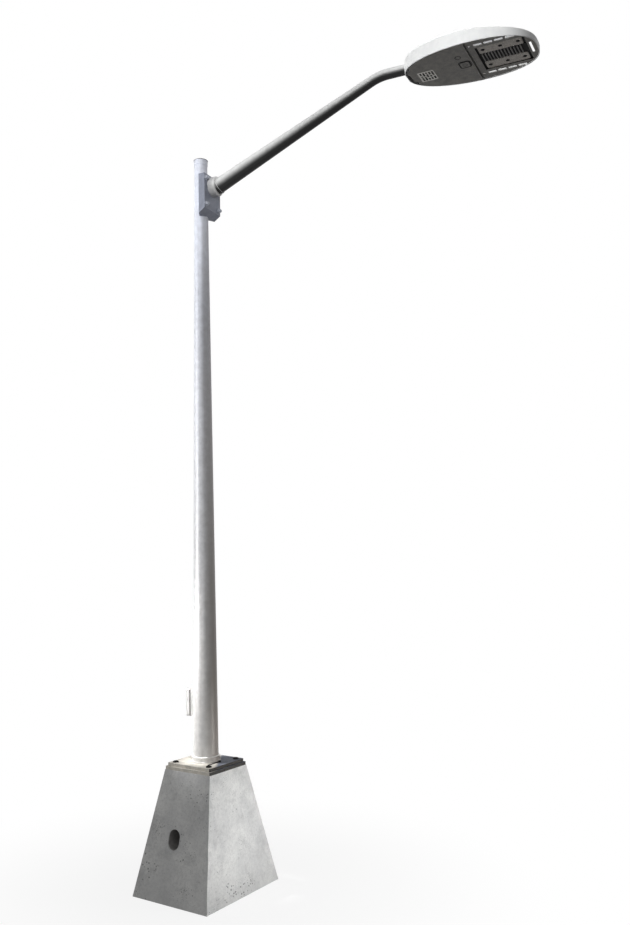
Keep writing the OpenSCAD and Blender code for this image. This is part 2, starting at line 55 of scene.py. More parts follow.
def addPiece(name, bm, material, body="structure", sharp=32):
    mesh = bpy.data.meshes.new(name)
    bm.to_mesh(mesh)
    bm.free()
    for polygon in mesh.polygons:
        polygon.use_smooth = True
    mesh.set_sharp_from_angle(angle=math.radians(sharp))
    piece = bpy.data.objects.new(name, mesh)
    scene.collection.objects.link(piece)
    piece.data.materials.append(material)
    even = piece.modifiers.new("evenShading", "WEIGHTED_NORMAL")
    even.keep_sharp = True
    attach(piece, body)
    return piece


def bevelSharp(bm, width, segments=2, angle=28):
    edges = [e for e in bm.edges if len(e.link_faces) == 2 and e.calc_face_angle(0) > math.radians(angle)]
    bmesh.ops.bevel(bm, geom=edges, offset=width, offset_type="OFFSET", segments=segments,
                    profile=0.5, affect="EDGES", clamp_overlap=True, material=-1)


# a copy of a CAD node with its hard edges rounded, standing for the node
def softened(node, name, material, width, segments=2, body="structure"):
    bm = bmesh.new()
    bm.from_mesh(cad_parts[node].data)
    bmesh.ops.remove_doubles(bm, verts=bm.verts, dist=0.01 * mm)
    bmesh.ops.dissolve_limit(bm, angle_limit=math.radians(0.5), verts=bm.verts, edges=bm.edges)
    bevelSharp(bm, width, segments)
    piece = addPiece(name, bm, material, body)
    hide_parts(node)
    return piece


# vertices at the points, joined by a closed ring of edges
def closedLoop(bm, points):
    verts = [bm.verts.new(point) for point in points]
    return verts, [bm.edges.new((a, b)) for a, b in zip(verts, verts[1:] + verts[:1])]


def vertsOf(geometry):
    return [part for part in geometry if isinstance(part, bmesh.types.BMVert)]


def drawOut(bm, face, way):
    grown = bmesh.ops.extrude_face_region(bm, geom=[face])["geom"]
    bmesh.ops.translate(bm, vec=way, verts=vertsOf(grown))


def boxAt(bm, centre, size):
    place = Matrix.Translation(centre) @ Matrix.Diagonal((*size, 1))
    return bmesh.ops.create_cube(bm, size=1.0, matrix=place)["verts"]


# a closed profile of (radius, height) points turned about an axis through centre
def turned(bm, profile, centre, axis=(0, 0, 1), steps=96):
    turn = Vector((0, 0, 1)).rotation_difference(Vector(axis)).to_matrix().to_4x4()
    earlier = set(bm.verts)
    verts, edges = closedLoop(bm, [(r, 0, h) for r, h in profile])
    bmesh.ops.spin(bm, geom=verts + edges, axis=(0, 0, 1), cent=(0, 0, 0),
                   angle=2 * math.pi, steps=steps, use_merge=True)
    bmesh.ops.remove_doubles(bm, verts=[v for v in bm.verts if v not in earlier], dist=0.001 * mm)
    bmesh.ops.transform(bm, matrix=Matrix.Translation(centre) @ turn,
                        verts=[v for v in bm.verts if v not in earlier])


lamp = {
    "length": 774 * mm, "width": 440 * mm, "wall": 5 * mm,
    "rimHeight": 72 * mm, "tipHeight": 32 * mm, "slopeStart": 470 * mm,
    "armBlunt": 0.42, "tipBlunt": 0.35, "segments": 56,
    "neck": 4 * mm, "roofLength": 412 * mm, "crown": 33 * mm,
}
rimLow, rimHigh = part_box("side_rim")
lampX = rimHigh.x - lamp["length"]
rimZ = rimLow.z


def halfWidth(u, inset=0.0):
    length = lamp["length"] - 2 * inset
    t = min(max((u - inset) / length, 0.0), 1.0)
    return (lamp["width"] / 2 - inset) * (2 * t) ** lamp["armBlunt"] * (2 - 2 * t) ** lamp["tipBlunt"]


# outline from one end to the other and back, between two distances along the lamp
def teardropPoints(inset, fromU, toU):
    count = lamp["segments"]
    length = lamp["length"] - 2 * inset
    us = [inset + length * (1 - math.cos(math.pi * i / count)) / 2 for i in range(count + 1)]
    us = [u for u in us if fromU < u < toU]
    us = ([fromU] if halfWidth(fromU, inset) > 0 else []) + us + [toU]
    near = [(u, halfWidth(u, inset)) for u in us]
    far = [(u, -v) for u, v in reversed(near) if v > 1e-6]
    return near + far


def teardropFace(bm, inset, fromU, toU, z):
    verts = [bm.verts.new((lampX + u, v, z)) for u, v in teardropPoints(inset, fromU, toU)]
    return bm.faces.new(verts)


def rimTop(u):
    fall = (lamp["rimHeight"] - lamp["tipHeight"]) / (lamp["length"] - lamp["slopeStart"])
    return rimZ + lamp["rimHeight"] - fall * max(0.0, u - lamp["slopeStart"])


def newMaterial(name):
    material = bpy.data.materials.new(name)
    material.use_nodes = True
    return material, material.node_tree


def addNode(tree, kind, **settings):
    node = tree.nodes.new(kind)
    for key, value in settings.items():
        setattr(node, key, value)
    return node


def setInputs(node, **values):
    for key, value in values.items():
        node.inputs[key.replace("_", " ")].default_value = value
    return node


def ramp(tree, source, stops):
    node = addNode(tree, "ShaderNodeValToRGB")
    elements = node.color_ramp.elements
    while len(elements) < len(stops):
        elements.new(0.5)
    for element, (place, colour) in zip(elements, stops):
        element.position = place
        element.color = (*colour, 1)
    tree.links.new(source, node.inputs["Fac"])
    return node.outputs["Color"]


def grey(value):
    return (value, value, value)


def greyRamp(tree, source, *stops):
    return ramp(tree, source, [(place, grey(value)) for place, value in stops])


# a socket takes a link from another socket, or a plain value
def feed(tree, socket, value):
    if isinstance(value, bpy.types.NodeSocket):
        tree.links.new(value, socket)
    else:
        socket.default_value = value


def mixColour(tree, factor, colourA, colourB, blend="MIX"):
    node = addNode(tree, "ShaderNodeMix", data_type="RGBA", blend_type=blend)
    for label, value in (("Factor", factor), ("A", colourA), ("B", colourB)):
        feed(tree, node.inputs[label], (*value, 1) if isinstance(value, tuple) else value)
    return node.outputs["Result"]


def mathNode(tree, operation, first, second=0.0):
    node = addNode(tree, "ShaderNodeMath", operation=operation)
    for socket, value in zip(node.inputs, (first, second)):
        feed(tree, socket, value)
    return node.outputs["Value"]


# another colour laid over the first where the mask is bright
def overlay(tree, colour, over, mask, amount):
    return mixColour(tree, mathNode(tree, "MULTIPLY", mask, amount), colour, over)


def dotProduct(tree, first, second):
    node = addNode(tree, "ShaderNodeVectorMath", operation="DOT_PRODUCT")
    feed(tree, node.inputs[0], first)
    feed(tree, node.inputs[1], second)
    return node.outputs["Value"]


def mapRange(tree, value, low, high, start=0.0, smooth=False):
    kind = "SMOOTHSTEP" if smooth else "LINEAR"
    node = addNode(tree, "ShaderNodeMapRange", interpolation_type=kind)
    for label, source in (("Value", value), ("From Min", low), ("From Max", high), ("To Min", start)):
        feed(tree, node.inputs[label], source)
    return node.outputs["Result"]


def objectVector(tree, scale=(1, 1, 1)):
    place = addNode(tree, "ShaderNodeTexCoord")
    mapping = addNode(tree, "ShaderNodeMapping")
    mapping.inputs["Scale"].default_value = scale
    tree.links.new(place.outputs["Object"], mapping.inputs["Vector"])
    return mapping.outputs["Vector"]


def noise(tree, vector, scale, detail=4.0, rough=0.55):
    node = setInputs(addNode(tree, "ShaderNodeTexNoise"), Scale=scale, Detail=detail, Roughness=rough)
    tree.links.new(vector, node.inputs["Vector"])
    return node.outputs["Fac"]


# joins colour, roughness and bump (height, strength, distance) to the surface
def finishLook(material, colour, rough, bump, specular, metallic=0.0):
    tree = material.node_tree
    shader = tree.nodes["Principled BSDF"]
    height, strength, distance = bump
    relief = setInputs(addNode(tree, "ShaderNodeBump"), Strength=strength, Distance=distance)
    tree.links.new(height, relief.inputs["Height"])
    tree.links.new(colour, shader.inputs["Base Color"])
    tree.links.new(rough, shader.inputs["Roughness"])
    tree.links.new(relief.outputs["Normal"], shader.inputs["Normal"])
    setInputs(shader, Specular_IOR_Level=specular, Metallic=metallic)
    return material


def makeGroup(name, inputs, outputs):
    group = bpy.data.node_groups.new(name, "ShaderNodeTree")
    for label, kind, value in inputs:
        socket = group.interface.new_socket(name=label, in_out="INPUT", socket_type=kind)
        socket.default_value = value
    for label, kind in outputs:
        group.interface.new_socket(name=label, in_out="OUTPUT", socket_type=kind)
    return group, addNode(group, "NodeGroupInput"), addNode(group, "NodeGroupOutput")


def placeGroup(tree, group, **values):
    node = addNode(tree, "ShaderNodeGroup")
    node.node_tree = group
    return setInputs(node, **values)


# fine grain and broad blotches on Object coordinates
def buildGrain():
    group, start, end = makeGroup(
        "paintGrain",
        [("Fine", "NodeSocketFloat", 900.0), ("Broad", "NodeSocketFloat", 9.0)],
        [("Grain", "NodeSocketFloat"), ("Blotch", "NodeSocketFloat")])
    vector = objectVector(group)
    for label, detail, out in (("Fine", 2.0, "Grain"), ("Broad", 5.0, "Blotch")):
        texture = setInputs(addNode(group, "ShaderNodeTexNoise"), Detail=detail, Roughness=0.6)
        group.links.new(vector, texture.inputs["Vector"])
        group.links.new(start.outputs[label], texture.inputs["Scale"])
        group.links.new(texture.outputs["Fac"], end.inputs[out])
    return group


# long upright streaks, as rain and zinc runs leave them
def buildStreaks():
    group, start, end = makeGroup(
        "uprightStreaks",
        [("Scale", "NodeSocketFloat", 30.0), ("Cover", "NodeSocketFloat", 0.5)],
        [("Streak", "NodeSocketFloat")])
    vector = objectVector(group, (1, 1, 0.04))
    texture = setInputs(addNode(group, "ShaderNodeTexNoise"), Detail=6.0, Roughness=0.65)
    group.links.new(vector, texture.inputs["Vector"])
    group.links.new(start.outputs["Scale"], texture.inputs["Scale"])
    spread = mapRange(group, texture.outputs["Fac"], start.outputs["Cover"], 0.85)
    group.links.new(spread, end.inputs["Streak"])
    return group


# how far a surface lies between two heights, broken up by noise
def buildHeightFade():
    group, start, end = makeGroup(
        "heightFade",
        [("Low", "NodeSocketFloat", 0.0), ("High", "NodeSocketFloat", 1.0),
         ("Break", "NodeSocketFloat", 0.3)],
        [("Fade", "NodeSocketFloat")])
    vector = objectVector(group)
    split = addNode(group, "ShaderNodeSeparateXYZ")
    group.links.new(vector, split.inputs["Vector"])
    broken = mathNode(group, "MULTIPLY", mathNode(group, "SUBTRACT", noise(group, vector, 7.0), 0.5),
                      start.outputs["Break"])
    height = mathNode(group, "ADD", split.outputs["Z"], broken)
    spread = mapRange(group, height, start.outputs["Low"], start.outputs["High"])
    group.links.new(spread, end.inputs["Fade"])
    return group


# how far a surface faces one way, broken up by noise
def buildFacing():
    group, start, end = makeGroup(
        "facingWay",
        [("Way", "NodeSocketVector", (0.0, 0.0, 1.0)), ("Low", "NodeSocketFloat", 0.0),
         ("High", "NodeSocketFloat", 1.0), ("Break", "NodeSocketFloat", 0.2)],
        [("Mask", "NodeSocketFloat")])
    place = addNode(group, "ShaderNodeTexCoord")
    facing = dotProduct(group, place.outputs["Normal"], start.outputs["Way"])
    rough = noise(group, objectVector(group, (1, 1, 0.3)), 14.0, 5.0, 0.6)
    broken = mathNode(group, "MULTIPLY", mathNode(group, "SUBTRACT", rough, 0.5), start.outputs["Break"])
    spread = mapRange(group, mathNode(group, "ADD", facing, broken), start.outputs["Low"],
                      start.outputs["High"], smooth=True)
    group.links.new(spread, end.inputs["Mask"])
    return group


# bright or worn rims found from a rounded normal
def buildEdgeWear():
    group, start, end = makeGroup(
        "edgeWear", [("Radius", "NodeSocketFloat", 0.002)], [("Edge", "NodeSocketFloat")])
    rounded = addNode(group, "ShaderNodeBevel", samples=6)
    group.links.new(start.outputs["Radius"], rounded.inputs["Radius"])
    plain = addNode(group, "ShaderNodeNewGeometry")
    same = dotProduct(group, rounded.outputs["Normal"], plain.outputs["Normal"])
    group.links.new(mapRange(group, same, 1.0, 0.8), end.inputs["Edge"])
    return group


paintGrain = buildGrain()
uprightStreaks = buildStreaks()
heightFade = buildHeightFade()
edgeWear = buildEdgeWear()
facingWay = buildFacing()
print("shared effects built")


def buildConcrete():
    look = {"pale": (0.80, 0.80, 0.785), "mid": (0.62, 0.622, 0.62), "damp": (0.36, 0.36, 0.362), "pit": 0.10}
    material, tree = newMaterial("castConcrete")
    vector = objectVector(tree)
    clouds = noise(tree, vector, 3.2, 8.0, 0.68)
    colour = ramp(tree, clouds, [(0.38, look["mid"]), (0.60, look["pale"])])
    stains = noise(tree, vector, 11.0, 7.0, 0.75)
    colour = mixColour(tree, greyRamp(tree, stains, (0.50, 0.0), (0.72, 0.45)), colour, look["damp"])
    # fine mottling all over, as cement skin dries unevenly
    mottle = noise(tree, vector, 60.0, 6.0, 0.75)
    colour = mixColour(tree, greyRamp(tree, mottle, (0.45, 0.0), (0.66, 0.32)), colour, look["damp"])
    foot = placeGroup(tree, heightFade, Low=0.30, High=0.0, Break=0.25)
    colour = overlay(tree, colour, look["mid"], foot.outputs["Fade"], 0.25)
    holes = 0.0
    for scale, widest, cluster in ((42.0, 0.26, 5.0), (110.0, 0.30, 8.0)):
        pits = setInputs(addNode(tree, "ShaderNodeTexVoronoi", feature="F1"), Scale=scale, Randomness=1.0)
        tree.links.new(vector, pits.inputs["Vector"])
        chosen = noise(tree, vector, cluster, 4.0, 0.6)
        size = greyRamp(tree, chosen, (0.47, 0.0), (0.68, widest))
        holes = mathNode(tree, "MAXIMUM", mathNode(tree, "LESS_THAN", pits.outputs["Distance"], size), holes)
    colour = overlay(tree, colour, grey(look["pit"]), holes, 0.7)
    speckle = noise(tree, vector, 420.0, 3.0, 0.7)
    colour = mixColour(tree, greyRamp(tree, speckle, (0.30, 0.22), (0.45, 0.0)), colour, grey(0.3))
    height = mathNode(tree, "ADD", mathNode(tree, "MULTIPLY", speckle, 0.4),
                      mathNode(tree, "MULTIPLY", holes, -1.5))
    height = mathNode(tree, "ADD", height, mathNode(tree, "MULTIPLY", clouds, 0.8))
    rough = greyRamp(tree, stains, (0.3, 0.82), (0.8, 0.95))
    return finishLook(material, colour, rough, (height, 0.5, 1.2 * mm), 0.2)


def buildZincPlate():
    look = {"cream": (0.66, 0.625, 0.56), "dull": (0.48, 0.455, 0.41), "blue": (0.28, 0.30, 0.34),
            "shadedSideDark": (0.022, 0.02, 0.02), "poleShadowSlate": (0.055, 0.075, 0.125), "away": (0.9, 0.44, 0.0),
            "shadowFrom": 70 * mm, "shadowFull": 100 * mm, "shadowCover": 0.86}
    material, tree = newMaterial("limedZinc")
    vector = objectVector(tree)
    bloom = noise(tree, vector, 16.0, 6.0, 0.65)
    colour = ramp(tree, bloom, [(0.34, look["dull"]), (0.56, look["cream"])])
    spots = noise(tree, vector, 70.0, 4.0, 0.6)
    colour = mixColour(tree, greyRamp(tree, spots, (0.56, 0.0), (0.72, 0.5)), colour, look["blue"])
    worn = placeGroup(tree, edgeWear, Radius=0.003)
    colour = overlay(tree, colour, grey(0.62), worn.outputs["Edge"], 0.5)
    # painted shadow: a blue-grey patch on the top, beside the pole on the arm's side, where the pole's shadow
    # falls
    reach = mapRange(tree, dotProduct(tree, vector, look["away"]), look["shadowFrom"], look["shadowFull"],
                     smooth=True)
    top = placeGroup(tree, facingWay, Way=(0.0, 0.0, 1.0), Low=0.7, High=0.95, Break=0.1)
    poleShadow = mathNode(tree, "MULTIPLY", reach, top.outputs["Mask"])
    colour = overlay(tree, colour, look["poleShadowSlate"], poleShadow, look["shadowCover"])
    # painted shade: the plate edges facing +X are darkened almost to black, as the side turned from the light
    side = placeGroup(tree, facingWay, Way=(1.0, -0.1, 0.0), Low=0.3, High=0.6, Break=0.3)
    colour = overlay(tree, colour, look["shadedSideDark"], side.outputs["Mask"], 0.94)
    rough = greyRamp(tree, spots, (0.3, 0.45), (0.7, 0.68))
    return finishLook(material, colour, rough, (spots, 0.25, 0.6 * mm), 0.1, metallic=0.1)


def buildDarkSteel():
    material, tree = newMaterial("blackenedSteel")
    grain = placeGroup(tree, paintGrain, Fine=500.0, Broad=60.0)
    worn = placeGroup(tree, edgeWear, Radius=0.0015)
    colour = ramp(tree, grain.outputs["Blotch"], [(0.3, grey(0.008)), (0.7, (0.02, 0.018, 0.017))])
    colour = overlay(tree, colour, grey(0.08), worn.outputs["Edge"], 0.1)
    rough = greyRamp(tree, grain.outputs["Grain"], (0.3, 0.5), (0.7, 0.7))
    return finishLook(material, colour, rough, (grain.outputs["Grain"], 0.2, 0.3 * mm), 0.1)


# zinc-grey coat of the pole: warm and dusty low down, cool higher up
def buildPoleCoat():
    look = {"cool": (0.68, 0.71, 0.80), "warm": (0.78, 0.77, 0.755), "dust": (0.46, 0.42, 0.38),
            "shade": (0.24, 0.215, 0.195)}
    material, tree = newMaterial("poleCoat")
    rise = placeGroup(tree, heightFade, Low=1.2, High=4.6, Break=0.5)
    grain = placeGroup(tree, paintGrain, Fine=700.0, Broad=26.0)
    streaks = placeGroup(tree, uprightStreaks, Scale=60.0, Cover=0.48)
    colour = mixColour(tree, rise.outputs["Fade"], look["warm"], look["cool"])
    colour = overlay(tree, colour, look["dust"], streaks.outputs["Streak"], 0.35)
    spangle = greyRamp(tree, grain.outputs["Blotch"], (0.35, 0.9), (0.65, 1.08))
    colour = mixColour(tree, 1.0, colour, spangle, "MULTIPLY")
    # painted shade on the side turned from the light, strongest low on the pole
    side = placeGroup(tree, facingWay, Way=(0.92, 0.1, 0.0), Low=0.2, High=0.94, Break=0.25)
    lower = mathNode(tree, "SUBTRACT", 1.0, mathNode(tree, "MULTIPLY", rise.outputs["Fade"], 0.75))
    colour = overlay(tree, colour, look["shade"], side.outputs["Mask"], lower)
    rough = greyRamp(tree, grain.outputs["Blotch"], (0.3, 0.36), (0.7, 0.48))
    return finishLook(material, colour, rough, (grain.outputs["Grain"], 0.12, 0.3 * mm), 0.3, metallic=0.12)


def buildCoat(name, base, dull, metallic, rough, dirt=0.25, gloss=0.3, undersideShade=0.0, end=0.0):
    material, tree = newMaterial(name)
    grain = placeGroup(tree, paintGrain, Fine=800.0, Broad=22.0)
    streaks = placeGroup(tree, uprightStreaks, Scale=45.0, Cover=0.5)
    worn = placeGroup(tree, edgeWear, Radius=0.002)
    colour = ramp(tree, grain.outputs["Blotch"], [(0.32, dull), (0.62, base)])
    colour = overlay(tree, colour, tuple(0.45 * c for c in dull), streaks.outputs["Streak"], dirt)
    bright = tuple(min(1.0, 1.25 * c) for c in base)
    colour = overlay(tree, colour, bright, worn.outputs["Edge"], 0.4)
    # painted shade: faces turned down are darkened towards black
    if undersideShade > 0:
        below = placeGroup(tree, facingWay, Way=(0.0, 0.0, -1.0), Low=-0.35, High=0.65, Break=0.08)
        colour = overlay(tree, colour, grey(0.008), below.outputs["Mask"], undersideShade)
    # painted shade: faces turned towards the lamp's tip (+X) are greyed, as the side turned from the light
    if end > 0:
        outer = placeGroup(tree, facingWay, Way=(1.0, -0.2, 0.0), Low=0.42, High=1.05, Break=0.1)
        colour = overlay(tree, colour, grey(0.34), outer.outputs["Mask"], end)
    roughness = greyRamp(tree, grain.outputs["Grain"], (0.3, rough - 0.05), (0.7, rough + 0.07))
    return finishLook(material, colour, roughness, (grain.outputs["Grain"], 0.15, 0.3 * mm), gloss, metallic)


# dark textured powder coat of the lamp's underside
def buildUnderGrey():
    look = {"dark": (0.28, 0.275, 0.265), "light": (0.41, 0.395, 0.375), "fleck": (0.52, 0.49, 0.455)}
    material, tree = newMaterial("underGrey")
    grain = placeGroup(tree, paintGrain, Fine=650.0, Broad=30.0)
    colour = ramp(tree, grain.outputs["Blotch"], [(0.35, look["dark"]), (0.65, look["light"])])
    colour = mixColour(tree, greyRamp(tree, grain.outputs["Grain"], (0.58, 0.0), (0.66, 0.7)),
                       colour, look["fleck"])
    rough = greyRamp(tree, grain.outputs["Blotch"], (0.3, 0.55), (0.7, 0.7))
    return finishLook(material, colour, rough, (grain.outputs["Grain"], 0.35, 0.4 * mm), 0.08)


def buildLensPlate():
    look = {"dark": (0.34, 0.31, 0.28), "light": (0.66, 0.61, 0.56)}
    material, tree = newMaterial("lensPlate")
    grain = placeGroup(tree, paintGrain, Fine=260.0, Broad=70.0)
    colour = ramp(tree, grain.outputs["Grain"], [(0.38, look["dark"]), (0.6, look["light"])])
    rough = greyRamp(tree, grain.outputs["Blotch"], (0.3, 0.22), (0.7, 0.4))
    return finishLook(material, colour, rough, (grain.outputs["Grain"], 0.3, 0.6 * mm), 0.15)


castConcrete = buildConcrete()
limedZinc = buildZincPlate()
blackenedSteel = buildDarkSteel()
poleCoat = buildPoleCoat()
bracketCoat = buildCoat("bracketCoat", (0.245, 0.26, 0.315), (0.20, 0.215, 0.26), 0.1, 0.42)
lidGrey = buildCoat("lidGrey", (0.13, 0.135, 0.15), (0.09, 0.095, 0.11), 0.1, 0.5, 0.2, gloss=0.1)
boltZinc = buildCoat("boltZinc", (0.42, 0.44, 0.49), (0.33, 0.35, 0.40), 0.3, 0.36, 0.1)
# armSatin and stubSatin carry painted shade on their undersides
armSatin = buildCoat("armSatin", (0.74, 0.745, 0.74), (0.65, 0.655, 0.65), 0.1, 0.40, 0.1,
                     gloss=0.12, undersideShade=0.97)
stubSatin = buildCoat("stubSatin", (0.74, 0.74, 0.735), (0.60, 0.60, 0.60), 0.1, 0.36, 0.15, undersideShade=0.25)
# whitePowder carries painted shade on faces turned towards the lamp's tip
whitePowder = buildCoat("whitePowder", (0.86, 0.87, 0.865), (0.80, 0.81, 0.81), 0.0, 0.4, 0.06, end=0.85)
underGrey = buildUnderGrey()
lensPlate = buildLensPlate()
ribGrey = buildCoat("ribGrey", (0.34, 0.33, 0.32), (0.24, 0.235, 0.23), 0.0, 0.5, 0.0, gloss=0.1)
sealGrey = buildCoat("sealGrey", (0.66, 0.65, 0.63), (0.58, 0.57, 0.55), 0.0, 0.7, 0.0, gloss=0.05)
blackCoat = buildCoat("blackCoat", (0.022, 0.021, 0.021), (0.012, 0.012, 0.012), 0.0, 0.6, 0.0, gloss=0.05)
castFins = buildCoat("castFins", (0.78, 0.79, 0.80), (0.66, 0.67, 0.69), 0.1, 0.5, 0.1)
plateInk = buildCoat("plateInk", (0.05, 0.05, 0.05), (0.08, 0.077, 0.073), 0.0, 0.6, 0.0, gloss=0.05)
plateSilver = buildCoat("plateSilver", (0.74, 0.72, 0.68), (0.60, 0.58, 0.54), 0.1, 0.4, 0.15)
ivoryPlastic = buildCoat("ivoryPlastic", (0.70, 0.67, 0.58), (0.60, 0.57, 0.50), 0.0, 0.45, 0.1)
print("materials built")


softened("concrete_base", "concreteBlock", castConcrete, 3 * mm, 2)
softened("levelling_plate", "levellingPlate", limedZinc, 1.5 * mm)
softened("flange_plate", "flangePlate", limedZinc, 1.5 * mm)
for i in range(1, 5):
    softened(f"anchor_bolt_{i}", f"anchorBolt{i}", blackenedSteel, 1.0 * mm)
softened("bond_strap", "bondStrap", blackenedSteel, 0.8 * mm)


# grey duct just inside the cable mouth, its front cut to the sloping face
def buildDuct():
    duct = {"width": 92 * mm, "height": 127 * mm, "across": -32 * mm, "middle": 386 * mm,
            "face": -376 * mm, "slope": 0.23375, "recess": 7 * mm, "back": -70 * mm,
            "wall": 2.5 * mm, "clear": 0.3 * mm, "turn": -7, "arc": 16}
    lift = (duct["height"] - duct["width"]) / 2
    bm = bmesh.new()

    def loopOf(shrink, atFront):
        radius = duct["width"] / 2 - duct["clear"] - shrink
        points = []
        for side in (1, -1):
            for k in range(duct["arc"] + 1):
                turn = math.pi * k / duct["arc"] + (0 if side > 0 else math.pi)
                z = duct["middle"] + side * lift + radius * math.sin(turn)
                y = duct["face"] + duct["slope"] * z + duct["recess"] if atFront else duct["back"]
                points.append((duct["across"] + radius * math.cos(turn), y, z))
        return closedLoop(bm, points)[1]

    loops = [loopOf(0, True), loopOf(0, False), loopOf(duct["wall"], False), loopOf(duct["wall"], True)]
    for first, second in zip(loops, loops[1:] + loops[:1]):
        bmesh.ops.bridge_loops(bm, edges=first + second)
    turn = Matrix.Rotation(math.radians(duct["turn"]), 3, "Z")
    bmesh.ops.rotate(bm, verts=bm.verts, cent=(0, 0, 0), matrix=turn)
    finishPiece("cableDuct", bm, ribGrey)


# black domed caps over the anchor bolts
def buildAnchorCaps():
    cap = {"radius": 19 * mm, "tall": 11 * mm, "rim": 3 * mm, "lift": 0.1 * mm, "steps": 8}
    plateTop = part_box("flange_plate")[1].z
    for i in range(1, 5):
        low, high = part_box(f"anchor_bolt_{i}")
        profile = [(0, 0), (cap["radius"], 0), (cap["radius"], cap["rim"])]
        for k in range(1, cap["steps"] + 1):
            turn = math.pi / 2 * k / cap["steps"]
            profile.append((cap["radius"] * math.cos(turn) if k < cap["steps"] else 0,
                            cap["rim"] + (cap["tall"] - cap["rim"]) * math.sin(turn)))
        bm = bmesh.new()
        middle = (low + high) / 2
        turned(bm, profile, Vector((middle.x, middle.y, plateTop + cap["lift"])), steps=40)
        finishPiece(f"anchorCap{i}", bm, blackenedSteel)


buildAnchorCaps()
buildDuct()
print("ground part built")


poleLow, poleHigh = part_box("pole_shaft")
pole = {"foot": 84 * mm, "top": 42 * mm, "wall": 4 * mm}


def poleRadius(z):
    return pole["foot"] + (pole["top"] - pole["foot"]) * (z - poleLow.z) / (poleHigh.z - poleLow.z)


def buildPole():
    bm = bmesh.new()
    length = poleHigh.z - poleLow.z
    turned(bm, [(pole["foot"], 0), (pole["top"], length), (pole["top"] - pole["wall"], length),
                (pole["foot"] - pole["wall"], 0)], (0, 0, poleLow.z))
    piece = finishPiece("poleShaft", bm, poleCoat)
    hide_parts("pole_shaft")


def buildCollar():
    low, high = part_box("foot_collar")
    collar = {"clear": 0.3 * mm, "lip": 3 * mm, "shoulder": 8 * mm, "steps": 5}
    outer = (high.x - low.x) / 2
    body = outer - collar["lip"]
    tall = high.z - low.z
    bend = tall - collar["shoulder"]
    bm = bmesh.new()
    profile = [(pole["foot"] + collar["clear"], 0), (outer, 0), (outer, 5 * mm), (outer - 1.5 * mm, 8 * mm),
               (body, 10 * mm), (body - 0.3 * mm, bend)]
    # rounded shoulder, then the weld that runs up to the shaft
    for k in range(1, collar["steps"] + 1):
        turn = math.pi / 2 * k / collar["steps"]
        profile.append((body - 3 * mm + 2.7 * mm * math.cos(turn), bend + 5 * mm * math.sin(turn)))
    profile += [(poleRadius(high.z) + 3 * mm, tall - 1 * mm), (poleRadius(high.z) + 0.8 * mm, tall)]
    turned(bm, profile, (0, 0, low.z))
    piece = finishPiece("footCollar", bm, poleCoat)
    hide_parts("foot_collar")


def buildCap():
    low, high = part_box("pole_cap")
    cap = {"clear": 0.3 * mm, "skirt": 2.2 * mm, "plate": 4 * mm, "step": 1.2 * mm}
    plate = cap["plate"]
    lid = (high.x - low.x) / 2
    inner = pole["top"] + cap["clear"]
    outer = lid - cap["step"]
    tall = high.z - low.z
    bm = bmesh.new()
    turned(bm, [(inner, 0), (inner + cap["skirt"], 0), (lid - 2.5 * mm, tall - 11 * mm),
                (outer, tall - 9 * mm), (outer, tall - plate), (0, tall - plate),
                (0, tall - 2 * plate), (inner, tall - 2 * plate)], (0, 0, low.z))
    piece = finishPiece("poleCap", bm, poleCoat)
    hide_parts("pole_cap")
    bm = bmesh.new()
    turned(bm, [(0, -plate), (lid, -plate), (lid, -cap["step"]), (outer, 0), (0, 0)], (0, 0, high.z))
    finishPiece("capLid", bm, lidGrey)


buildPole()
buildCollar()
buildCap()
softened("hand_hole_frame", "handHoleFrame", poleCoat, 1.5 * mm)
softened("hand_hole_cover", "handHoleCover", poleCoat, 4 * mm, 3)
for end in ("top", "bottom"):
    softened(f"cover_screw_{end}", f"coverScrew{end.title()}", boltZinc, 0.8 * mm)
print("pole built")


softened("bracket", "bracketBody", bracketCoat, 4 * mm, 3)
for i in range(1, 5):
    softened(f"bracket_bolt_{i}", f"bracketBolt{i}", boltZinc, 1.0 * mm)

arm = {"rootWidth": 97 * mm, "endWidth": 60.3 * mm, "wall": 3.5 * mm, "kneeRadius": 300 * mm,
       "kneePlace": 1273 * mm, "bead": 5 * mm, "rootBack": 12 * mm, "rings": 12, "kneeRings": 12, "sides": 64}


def ringAt(centre, along, radius):
    turn = Vector((0, 0, 1)).rotation_difference(along).to_matrix().to_4x4()
    return Matrix.Translation(centre) @ turn @ Matrix.Scale(radius, 4)


# a tube through a list of ring matrices, made by extruding one circle
def tubeThrough(bm, rings, sides):
    made = bmesh.ops.create_circle(bm, cap_ends=False, radius=1.0, segments=sides, matrix=rings[0])
    verts = made["verts"]
    edges = list({e for v in verts for e in v.link_edges})
    for before, after in zip(rings, rings[1:]):
        grown = bmesh.ops.extrude_edge_only(bm, edges=edges)["geom"]
        verts = vertsOf(grown)
        edges = [g for g in grown if isinstance(g, bmesh.types.BMEdge)
                 and all(v in verts for v in g.verts)]
        bmesh.ops.transform(bm, matrix=after @ before.inverted(), verts=verts)


